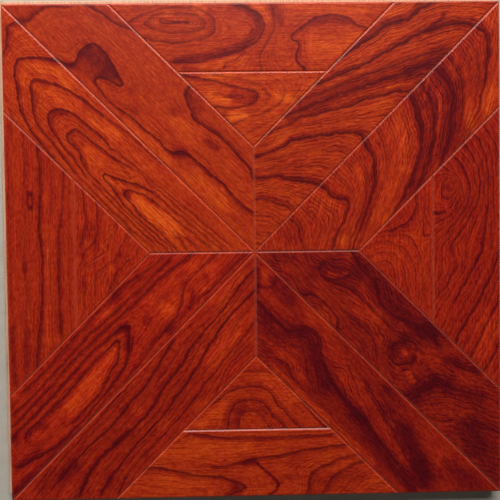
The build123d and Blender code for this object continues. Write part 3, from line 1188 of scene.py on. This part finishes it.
def lamella_tree():
    """Geometry Nodes for one face piece from four corners: a fine grid, an eased edge, walls and a back."""
    tree = bpy.data.node_groups.new("lamella", "GeometryNodeTree")
    lamella_sockets(tree.interface)
    make = NodeMaker(tree)
    given = make.add("NodeGroupInput").outputs
    grid = make.add("GeometryNodeMeshGrid", {
        "Size X": 1.0, "Size Y": 1.0, "Vertices X": given["Columns"], "Vertices Y": given["Rows"],
    })
    unit = make.vector("ADD", make.add("GeometryNodeInputPosition").outputs[0], (0.5, 0.5, 0.0))
    kept = make.add("GeometryNodeStoreNamedAttribute", {
        "Geometry": grid.outputs["Mesh"], "Name": "unit", "Value": unit,
    }, data_type="FLOAT_VECTOR", domain="POINT")
    spot = make.add("GeometryNodeInputNamedAttribute", {"Name": "unit"}, data_type="FLOAT_VECTOR")
    parts = make.add("ShaderNodeSeparateXYZ", {"Vector": spot.outputs["Attribute"]})

    def mix(share, a, b):
        node = make.add("ShaderNodeMix", data_type="VECTOR")
        make.put(node.inputs[0], share)
        make.put(node.inputs[4], a)
        make.put(node.inputs[5], b)
        return node.outputs[1]

    def outline(inset, height):
        corners = []
        for number in range(1, 5):
            step = make.add("ShaderNodeVectorMath", operation="SCALE")
            make.put(step.inputs[0], given[f"Miter {number}"])
            make.put(step.inputs["Scale"], inset)
            corners.append(make.vector("ADD", given[f"Corner {number}"], step.outputs[0]))
        near = mix(parts.outputs["X"], corners[0], corners[1])
        far = mix(parts.outputs["X"], corners[3], corners[2])
        level = mix(parts.outputs["Y"], near, far)
        rise = make.add("ShaderNodeCombineXYZ", {"Z": height})
        return make.vector("ADD", level, rise.outputs[0])

    width = given["Bevel Width"]
    depth = given["Bevel Depth"]
    top = given["Top"]
    shape = make.add("GeometryNodeSetPosition", {
        "Geometry": kept.outputs["Geometry"], "Position": outline(width, top),
    }).outputs["Geometry"]
    neighbours = make.add("GeometryNodeInputMeshEdgeNeighbors")
    rim = make.math("LESS_THAN", neighbours.outputs["Face Count"], 1.5)
    rings = [
        (
            make.math("MULTIPLY", width, SHOULDER_WIDTH),
            make.math("SUBTRACT", top, make.math("MULTIPLY", depth, SHOULDER_DEPTH)),
        ),
        (0.0, make.math("SUBTRACT", top, depth)),
        (0.0, given["Bottom"]),
    ]
    for inset, height in rings:
        extruded = make.add("GeometryNodeExtrudeMesh", {
            "Mesh": shape, "Selection": rim, "Offset Scale": 0.0,
        }, mode="EDGES")
        rim = extruded.outputs["Top"]
        shape = make.add("GeometryNodeSetPosition", {
            "Geometry": extruded.outputs["Mesh"], "Selection": rim, "Position": outline(inset, height),
        }).outputs["Geometry"]
    closing = make.add("GeometryNodeExtrudeMesh", {
        "Mesh": shape, "Selection": rim, "Offset Scale": 0.0,
    }, mode="EDGES")
    middle = given["Corner 1"]
    for number in range(2, 5):
        middle = make.vector("ADD", middle, given[f"Corner {number}"])
    middle = make.vector("MULTIPLY", middle, (0.25, 0.25, 0.25))
    floor = make.add("ShaderNodeCombineXYZ", {"Z": given["Bottom"]})
    shape = make.add("GeometryNodeSetPosition", {
        "Geometry": closing.outputs["Mesh"], "Selection": closing.outputs["Top"],
        "Position": make.vector("ADD", middle, floor.outputs[0]),
    }).outputs["Geometry"]
    merged = make.add("GeometryNodeMergeByDistance", {"Geometry": shape, "Distance": MERGE_DISTANCE})
    real = make.add("GeometryNodeRealizeInstances", {"Geometry": merged.outputs["Geometry"]})
    painted = make.add("GeometryNodeSetMaterial", {
        "Geometry": real.outputs["Geometry"], "Material": given["Material"],
    })
    make.add("NodeGroupOutput", {"Geometry": painted.outputs["Geometry"]})
    return tree


def plain_mesh(name, tree, values):
    """Runs the tree on an empty mesh object and keeps the result as a plain mesh object."""
    obj = bpy.data.objects.new(name, bpy.data.meshes.new(name))
    bpy.context.scene.collection.objects.link(obj)
    modifier = obj.modifiers.new("Lamella", "NODES")
    modifier.node_group = tree
    for item in tree.interface.items_tree:
        if item.in_out == "INPUT":
            modifier[item.identifier] = values[item.name]
    graph = bpy.context.evaluated_depsgraph_get()
    mesh = bpy.data.meshes.new_from_object(obj.evaluated_get(graph))
    obj.modifiers.clear()
    obj.data = mesh
    mesh.name = name
    return obj


def outline_of(board, kind):
    """Corners of a face piece in the north sector, anticlockwise, starting at one end of its length."""
    half = board.side / 2
    offset = board.strip_width * math.sqrt(2)
    line = half - board.border_width
    narrow = line - offset
    wide = half - offset
    if kind == "strip_left":
        return [(0.0, 0.0), (0.0, offset), (-wide, half), (-half, half)]
    if kind == "strip_right":
        return [(0.0, offset), (0.0, 0.0), (half, half), (wide, half)]
    if kind == "triangle":
        return [(0.0, offset), (narrow, line), (0.0, line), (-narrow, line)]
    return [(-narrow, line), (narrow, line), (wide, half), (-wide, half)]


def cells(a, b, size):
    """How many points a side needs."""
    return max(FEWEST_CELLS, int(math.ceil((a - b).length / size))) + 1


def face_piece(board, tree, kind, name, turn, to_board, grain_angle, offset):
    """Makes one lacquered face piece with its grain."""
    corners = turned(outline_of(board, kind), turn)
    steps = miters(corners)
    values = {
        "Top": board.face_top,
        "Bottom": board.face_bottom,
        "Bevel Width": board.bevel_width,
        "Bevel Depth": board.bevel_depth,
        "Columns": max(cells(corners[0], corners[1], board.cell), cells(corners[3], corners[2], board.cell)),
        "Rows": max(cells(corners[0], corners[3], board.cell), cells(corners[1], corners[2], board.cell)),
        "Material": face_material(board),
    }
    for number in range(4):
        values[f"Corner {number + 1}"] = corners[number]
        values[f"Miter {number + 1}"] = steps[number]
    obj = plain_mesh(name + "_face", tree, values)
    mesh = obj.data
    mesh.attributes.remove(mesh.attributes["unit"])
    mesh.polygons.foreach_set("use_smooth", np.ones(len(mesh.polygons), bool))
    mesh.set_sharp_from_angle(angle=math.radians(SHARP_ANGLE))
    store_grain(mesh, name, to_board, grain_angle, offset)
    mesh.update()
    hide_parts(name)
    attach(obj, "root")
    return obj


def noise(make, vector, scale, detail=3.0, roughness=0.5):
    """Noise from 0 to 1 about one half."""
    node = make.add("ShaderNodeTexNoise", {
        "Vector": vector, "Scale": scale, "Detail": detail, "Roughness": roughness,
    }, noise_dimensions="3D")
    return node.outputs["Fac"]


def ramp(make, value, stops):
    """A colour ramp with the given places and screen colours."""
    node = make.add("ShaderNodeValToRGB", {"Fac": value})
    elements = node.color_ramp.elements
    while len(elements) < len(stops):
        elements.new(0.5)
    for element, (at, colour) in zip(elements, stops):
        element.position = at
        element.color = linear(colour)
    return node.outputs["Color"]


def linear(colour):
    """A screen colour from 0 to 255 as a linear colour that covers fully."""
    out = []
    for value in colour:
        v = value / 255.0
        out.append(v / 12.92 if v <= 0.04045 else ((v + 0.055) / 1.055) ** 2.4)
    return (*out, 1.0)


def fibre_group():
    """Node group for the fibres of wood: long streaks, short flecks and pores along one direction."""
    name = "fibres"
    if name in bpy.data.node_groups:
        return bpy.data.node_groups[name]
    tree = bpy.data.node_groups.new(name, "ShaderNodeTree")
    tree.interface.new_socket("Along Grain", in_out="INPUT", socket_type="NodeSocketVector")
    for output in ("Streak", "Fleck", "Pore"):
        tree.interface.new_socket(output, in_out="OUTPUT", socket_type="NodeSocketFloat")
    make = NodeMaker(tree)
    given = make.add("NodeGroupInput").outputs
    long_way = make.vector("MULTIPLY", given["Along Grain"], (30.0, 900.0, 900.0))
    streak = noise(make, long_way, 1.0, 4.0, 0.6)
    short_way = make.vector("MULTIPLY", given["Along Grain"], (260.0, 700.0, 700.0))
    fleck = noise(make, short_way, 1.0, 3.0, 0.6)
    dot_way = make.vector("MULTIPLY", given["Along Grain"], (240.0, 2400.0, 2400.0))
    dots = noise(make, dot_way, 1.0, 1.0, 0.5)
    pore = make.add("ShaderNodeMapRange", {
        "Value": dots, "From Min": 0.62, "From Max": 0.74, "To Min": 0.0, "To Max": 1.0,
    }, interpolation_type="SMOOTHSTEP")
    make.add("NodeGroupOutput", {"Streak": streak, "Fleck": fleck, "Pore": pore.outputs["Result"]})
    return tree


def add_group(make, tree, inputs):
    """Adds a node group node."""
    node = make.tree.nodes.new("ShaderNodeGroup")
    node.node_tree = tree
    for key, value in inputs.items():
        make.put(node.inputs[key], value)
    return node.outputs


def attribute(make, name):
    """Reads a number stored on the mesh."""
    return make.add("ShaderNodeAttribute", attribute_name=name, attribute_type="GEOMETRY").outputs["Fac"]


def ring_line(make, ring, gap, sharp, soft, share, bold=1.0):
    """Dark line at every whole ring number: a crisp outer side and a soft inner side, in millimetres."""
    whole = make.math("ROUND", ring)
    away = make.math("MULTIPLY", make.math("SUBTRACT", ring, whole), gap)
    inner = make.math("GREATER_THAN", away, 0.0)
    width = make.math("ADD", sharp, make.math("MULTIPLY", inner, soft - sharp))
    width = make.math("MINIMUM", make.math("MULTIPLY", width, bold), make.math("MULTIPLY", gap, share))
    scaled = make.math("DIVIDE", away, width)
    return make.math("EXPONENT", make.math("MULTIPLY", make.math("MULTIPLY", scaled, scaled), -1.0))


def finer_lines(make, ring, gap, count):
    """Thin lines that divide each ring into a count of layers, fading where they lie too close."""
    layer = make.math("DIVIDE", gap, count)
    line = ring_line(make, make.math("MULTIPLY", ring, count), layer, FINE_SHARP, FINE_SOFT, VEIN_SHARE)
    return make.math("MULTIPLY", line, slope(make, layer, *FINE_FADE))


def ring_shade(make, ring, gap, reach, share):
    """Broad darkening that starts sharply at every whole ring number and fades inwards, in millimetres."""
    away = make.math("MULTIPLY", make.math("FRACT", ring), gap)
    width = make.math("MINIMUM", reach, make.math("MULTIPLY", gap, share))
    scaled = make.math("DIVIDE", away, width)
    return make.math("EXPONENT", make.math("MULTIPLY", make.math("MULTIPLY", scaled, scaled), -1.0))


def about_half(make, value, amount):
    """A value that swings about one half, as a swing about zero of the given amount."""
    return make.math("MULTIPLY", make.math("SUBTRACT", value, 0.5), amount)


def slope(make, value, start, end):
    """Runs from 0 to 1 while the value goes from start to end."""
    node = make.add("ShaderNodeMapRange", {"Value": value, "From Min": start, "From Max": end})
    return node.outputs["Result"]


def blend(make, share, a, b):
    """Mixes two colours."""
    node = make.add("ShaderNodeMix", data_type="RGBA", blend_type="MIX")
    make.put(node.inputs[0], share)
    make.put(node.inputs[6], a)
    make.put(node.inputs[7], b)
    return node.outputs[2]


def bevel_mask(make, board):
    """1 on the eased edges of the face pieces and 0 elsewhere, from the height on the board."""
    spot = make.add("ShaderNodeTexCoord").outputs["Object"]
    height = make.add("ShaderNodeSeparateXYZ", {"Vector": spot}).outputs["Z"]
    top = board.face_top
    depth = board.bevel_depth
    below = slope(make, height, top - 0.005 * depth, top - 0.06 * depth)
    above = slope(make, height, top - 1.2 * depth, top - 1.0 * depth)
    return make.math("MULTIPLY", below, above)


def new_material(name):
    """An empty material and a maker for its nodes."""
    material = bpy.data.materials.new(name)
    material.use_nodes = True
    material.node_tree.nodes.clear()
    return material, NodeMaker(material.node_tree)


def surface(make, inputs):
    """Ends a material with its surface."""
    shader = make.add("ShaderNodeBsdfPrincipled", inputs)
    make.add("ShaderNodeOutputMaterial", {"Surface": shader.outputs["BSDF"]})


def along(make, grain, length, width, detail, rough=0.55):
    """Noise drawn out along the grain."""
    return noise(make, make.vector("MULTIPLY", grain, (length, width, 1.0)), 1.0, detail, rough)


def thin_lines(make, stored, ring, patches):
    """The thin lines between the rings, the coarser ones fading in and out along the grain."""
    gap = stored["gap"]
    fine = finer_lines(make, ring, gap, stored["layers"])
    finest = finer_lines(make, ring, gap, make.math("MULTIPLY", stored["layers"], FINEST_LAYERS))
    fade = slope(make, patches, 0.35, 0.6)
    lines = make.math("ADD", make.math("MULTIPLY", fine, fade), make.math("MULTIPLY", finest, 0.7))
    amount = make.math("ADD", stored["fine"], make.math("MULTIPLY", stored["strength"], 0.25))
    return make.math("MULTIPLY", lines, amount)


def wood_level(make, stored, ring, fibres, mottle, patches):
    """How bright the wood is, about zero: tone, streaks, mottle, the rings' shade, thin lines and pores."""
    streak = fibres["Streak"]
    reach = make.math("MULTIPLY", stored["bold"], SHADE_REACH)
    shade = ring_shade(make, ring, stored["gap"], reach, SHADE_SHARE)
    shade = make.math("MULTIPLY", shade, stored["strength"])
    level = make.math("MULTIPLY", stored["tone"], make.math("ADD", 1.0, about_half(make, streak, 2.2)))
    level = make.math("ADD", level, about_half(make, mottle, 0.75))
    level = make.math("ADD", level, about_half(make, streak, 0.6))
    level = make.math("SUBTRACT", level, make.math("MULTIPLY", shade, 0.38))
    level = make.math("SUBTRACT", level, thin_lines(make, stored, ring, patches))
    return make.math("SUBTRACT", level, make.math("MULTIPLY", fibres["Pore"], 0.15))


def wood_colour(make, level, warm, hue, fleck):
    """The stain's colour for a brightness, turned more or less orange, with glints on the flecks."""
    wood = ramp(make, make.math("ADD", make.math("MULTIPLY", level, 0.5), 0.5, clamp=True), WOOD_RAMP)
    warmth = make.add("ShaderNodeCombineXYZ", {
        "X": 1.0,
        "Y": make.math("ADD", warm, about_half(make, hue, 0.6)),
        "Z": make.math("SUBTRACT", 1.0, about_half(make, hue, 0.8)),
    })
    wood = make.vector("MULTIPLY", wood, warmth.outputs[0])
    red = make.add("ShaderNodeSeparateXYZ", {"Vector": wood}).outputs["X"]
    glint = make.math("MULTIPLY", about_half(make, fleck, 0.85), red)
    spark = make.add("ShaderNodeCombineXYZ", {
        "X": glint, "Y": make.math("MULTIPLY", glint, 0.21), "Z": make.math("MULTIPLY", glint, 0.13),
    })
    return make.vector("MAXIMUM", make.vector("ADD", wood, spark.outputs[0]), (0.0, 0.0, 0.0))


def face_material(board):
    """Lacquered red-stained hardwood whose growth rings follow the numbers stored on the mesh."""
    name = "stained_hardwood"
    if name in bpy.data.materials:
        return bpy.data.materials[name]
    material, make = new_material(name)
    grain = make.add("ShaderNodeUVMap", uv_map="grain").outputs["UV"]
    traits = ("ring", "gap", "strength", "tone", "layers", "bold", "fine", "warm")
    stored = {trait: attribute(make, trait) for trait in traits}
    wander = about_half(make, along(make, grain, 60.0, 240.0, 4.0), WANDER)
    ring = make.math("ADD", stored["ring"], make.math("DIVIDE", wander, stored["gap"]))
    patches = along(make, grain, 60.0, 150.0, 2.0)
    mottle = along(make, grain, 110.0, 190.0, 4.0, 0.6)
    hue = along(make, grain, 60.0, 110.0, 2.0)
    fibres = add_group(make, fibre_group(), {"Along Grain": grain})
    level = wood_level(make, stored, ring, fibres, mottle, patches)
    wood = wood_colour(make, level, stored["warm"], hue, fibres["Fleck"])
    vein = ring_line(make, ring, stored["gap"], VEIN_SHARP, VEIN_SOFT, VEIN_SHARE, stored["bold"])
    dark = make.math("MULTIPLY", vein, stored["strength"])
    patchy = make.math("ADD", 0.62, make.math("MULTIPLY", patches, 0.5))
    dark = make.math("MULTIPLY", dark, patchy, clamp=True)
    colour = blend(make, dark, wood, linear(VEIN_COLOUR))
    # The eased edges are blended towards a lighter salmon, partly worn stain and partly a painted highlight
    # of the lit joint lines; the coat is also thinner there
    wear_and_highlight = bevel_mask(make, board)
    colour = blend(make, make.math("MULTIPLY", wear_and_highlight, 0.19), colour, linear(WEAR_AND_HIGHLIGHT_COLOUR))
    depth = make.math("ADD", make.math("MULTIPLY", dark, 0.5), fibres["Pore"])
    depth = make.math("MULTIPLY", depth, make.math("SUBTRACT", 1.0, wear_and_highlight))
    height = make.math("SUBTRACT", 1.0, depth)
    bump = make.add("ShaderNodeBump", {"Height": height, "Strength": 0.25, "Distance": 0.00006})
    surface(make, {
        "Base Color": colour,
        "Roughness": make.math("ADD", 0.33, about_half(make, mottle, 0.1)),
        "Specular IOR Level": 0.15,
        "Normal": bump.outputs["Normal"],
        "Coat Weight": make.math("SUBTRACT", 1.0, make.math("MULTIPLY", wear_and_highlight, 0.74)),
        "Coat Roughness": 0.17,
        "Coat IOR": 1.5,
    })
    return material


def either(make, share, a, b):
    """One of two numbers, or a mix of them."""
    node = make.add("ShaderNodeMix", data_type="FLOAT")
    make.put(node.inputs[0], share)
    make.put(node.inputs[2], a)
    make.put(node.inputs[3], b)
    return node.outputs[0]


def core_material():
    """Pale plywood: crossed plies in the edges, a plain long-grain back."""
    material, make = new_material("pale_plywood")
    spot = make.add("ShaderNodeTexCoord").outputs["Object"]
    parts = make.add("ShaderNodeSeparateXYZ", {"Vector": spot}).outputs
    ply = make.math("DIVIDE", parts["Z"], FACE_BOTTOM / PLIES)
    odd = make.math("MODULO", make.math("FLOOR", ply), 2.0)
    along_x = add_group(make, fibre_group(), {"Along Grain": spot})
    swapped = make.add("ShaderNodeCombineXYZ", {"X": parts["Y"], "Y": parts["X"], "Z": parts["Z"]})
    along_y = add_group(make, fibre_group(), {"Along Grain": swapped.outputs[0]})
    streak = either(make, odd, along_x["Streak"], along_y["Streak"])
    pore = either(make, odd, along_x["Pore"], along_y["Pore"])
    seam = make.math("ABSOLUTE", make.math("SUBTRACT", make.math("FRACT", ply), 0.5))
    glue = slope(make, seam, 0.45, 0.49)
    level = make.math("SUBTRACT", streak, make.math("MULTIPLY", pore, 0.18))
    level = make.math("SUBTRACT", level, make.math("MULTIPLY", glue, 0.22))
    level = make.math("SUBTRACT", level, make.math("MULTIPLY", odd, 0.08))
    bump = make.add("ShaderNodeBump", {"Height": level, "Strength": 0.3, "Distance": 0.0001})
    surface(make, {
        "Base Color": ramp(make, level, PLY_RAMP), "Roughness": 0.7, "Normal": bump.outputs["Normal"],
    })
    return material


def floor_material():
    """Plain pale floor with a very slight unevenness."""
    material, make = new_material("pale_floor")
    spot = make.add("ShaderNodeTexCoord").outputs["Object"]
    colour = ramp(make, noise(make, spot, 60.0, 4.0, 0.6), FLOOR_RAMP)
    surface(make, {"Base Color": colour, "Roughness": 0.8})
    return material


def face_group(context, kinds):
    """Builds the face pieces of the named kinds."""
    board = context.scene.parquet_board
    tree = bpy.data.node_groups.get("lamella") or lamella_tree()
    made = 0
    for number, side in enumerate(SIDES):
        turn = 90 * number
        left = SIDES[(number + 1) % 4]
        right = SIDES[number - 1]
        straight = 0 if side in ("north", "south") else 90
        named = {
            "strip_left": (f"strip_{side}_{left}", arm_angle(side, left)),
            "strip_right": (f"strip_{side}_{right}", arm_angle(side, right)),
            "triangle": (f"triangle_{side}", None),
            "border": (f"border_{side}", None),
        }
        for kind in kinds:
            name, arm = named[kind]
            guide = sector_guide(board, side) if arm is None else strip_guide(board, arm)
            grain = straight if arm is None else arm
            offset = SHIFT_BY_SIDE * number + SHIFT_BY_NAME * len(name)
            face_piece(board, tree, kind, name, turn, guide, grain, offset)
            made += 1
    if made != len(SIDES) * len(kinds):
        raise RuntimeError("not every face piece was made")


def arm_angle(a, b):
    """Direction of the arm between two neighbouring sides, in degrees."""
    return ARM_ANGLES.get(f"{a}_{b}", ARM_ANGLES.get(f"{b}_{a}"))


class PARQUET_OT_strips(bpy.types.Operator):
    """Builds the eight diagonal strips"""

    bl_idname = "parquet.strips"
    bl_label = "Build strips"

    def execute(self, context):
        face_group(context, ("strip_left", "strip_right"))
        return {"FINISHED"}


class PARQUET_OT_triangles(bpy.types.Operator):
    """Builds the four triangles between the arms"""

    bl_idname = "parquet.triangles"
    bl_label = "Build triangles"

    def execute(self, context):
        face_group(context, ("triangle",))
        return {"FINISHED"}


class PARQUET_OT_borders(bpy.types.Operator):
    """Builds the four border pieces"""

    bl_idname = "parquet.borders"
    bl_label = "Build borders"

    def execute(self, context):
        face_group(context, ("border",))
        return {"FINISHED"}


class PARQUET_OT_core(bpy.types.Operator):
    """Gives the CAD core its plywood"""

    bl_idname = "parquet.core"
    bl_label = "Finish core"

    def execute(self, context):
        core = bpy.data.objects.get("plywood_core")
        if core is None:
            raise RuntimeError("the CAD core is missing")
        core.data.materials.clear()
        core.data.materials.append(core_material())
        return {"FINISHED"}


def add_softbox(scene, box, radiance):
    """A rectangular lamp that faces its target, with its brightness given as radiance."""
    data = bpy.data.lights.new(box.name, "AREA")
    data.shape = "RECTANGLE"
    data.size = box.width
    data.size_y = box.height
    data.energy = radiance * math.pi * box.width * box.height
    data.color = box.colour
    lamp = bpy.data.objects.new(box.name, data)
    lamp.location = box.middle
    lamp.rotation_mode = "QUATERNION"
    lamp.rotation_quaternion = (Vector(box.target) - Vector(box.middle)).to_track_quat("-Z", "Y")
    scene.collection.objects.link(lamp)


def add_floor(scene):
    """A wide plain floor under the board."""
    mesh = bpy.data.meshes.new("floor")
    h = FLOOR_HALF
    mesh.from_pydata([(-h, -h, 0), (h, -h, 0), (h, h, 0), (-h, h, 0)], [], [(0, 1, 2, 3)])
    floor = bpy.data.objects.new("floor", mesh)
    mesh.materials.append(floor_material())
    scene.collection.objects.link(floor)


def add_camera(scene, stage):
    """The camera above the face, tilted a little."""
    data = bpy.data.cameras.new("camera")
    data.sensor_width = SENSOR_WIDTH
    data.lens = stage.lens
    camera = bpy.data.objects.new("camera", data)
    tilt = Vector(stage.camera_tilt)
    turn = Matrix.Rotation(tilt.length, 4, tilt.normalized())
    camera.matrix_world = Matrix.Translation(Vector(stage.camera_place)) @ turn
    scene.collection.objects.link(camera)
    scene.camera = camera


class PARQUET_OT_stage(bpy.types.Operator):
    """Sets up the floor, the lamps and the camera"""

    bl_idname = "parquet.stage"
    bl_label = "Set stage"

    def execute(self, context):
        scene = context.scene
        stage = scene.parquet_stage
        add_floor(scene)
        for box in SOFTBOXES:
            add_softbox(scene, box, getattr(stage, box.strength))
        world = bpy.data.worlds.new("studio")
        world.use_nodes = True
        world.node_tree.nodes["Background"].inputs["Color"].default_value = WORLD_COLOUR
        scene.world = world
        add_camera(scene, stage)
        scene.view_settings.view_transform = "Standard"
        return {"FINISHED"}


class VIEW3D_PT_parquet(bpy.types.Panel):
    """Lists the steps that build the board"""

    bl_label = "Parquet floorboard"
    bl_idname = "VIEW3D_PT_parquet"
    bl_space_type = "VIEW_3D"
    bl_region_type = "UI"
    bl_category = "Parquet"

    def draw(self, context):
        for operator in OPERATORS:
            self.layout.operator(operator.bl_idname)


OPERATORS = (
    PARQUET_OT_core,
    PARQUET_OT_strips,
    PARQUET_OT_triangles,
    PARQUET_OT_borders,
    PARQUET_OT_stage,
)
CLASSES = (ParquetBoard, ParquetStage, *OPERATORS, VIEW3D_PT_parquet)


def register():
    for c in CLASSES:
        bpy.utils.register_class(c)
    bpy.types.Scene.parquet_board = bpy.props.PointerProperty(type=ParquetBoard)
    bpy.types.Scene.parquet_stage = bpy.props.PointerProperty(type=ParquetStage)


def unregister():
    del bpy.types.Scene.parquet_stage
    del bpy.types.Scene.parquet_board
    for c in reversed(CLASSES):
        bpy.utils.unregister_class(c)


def main():
    register()
    bpy.ops.parquet.core()
    bpy.ops.parquet.strips()
    bpy.ops.parquet.triangles()
    bpy.ops.parquet.borders()
    bpy.ops.parquet.stage()


if __name__ == "__main__":
    main()
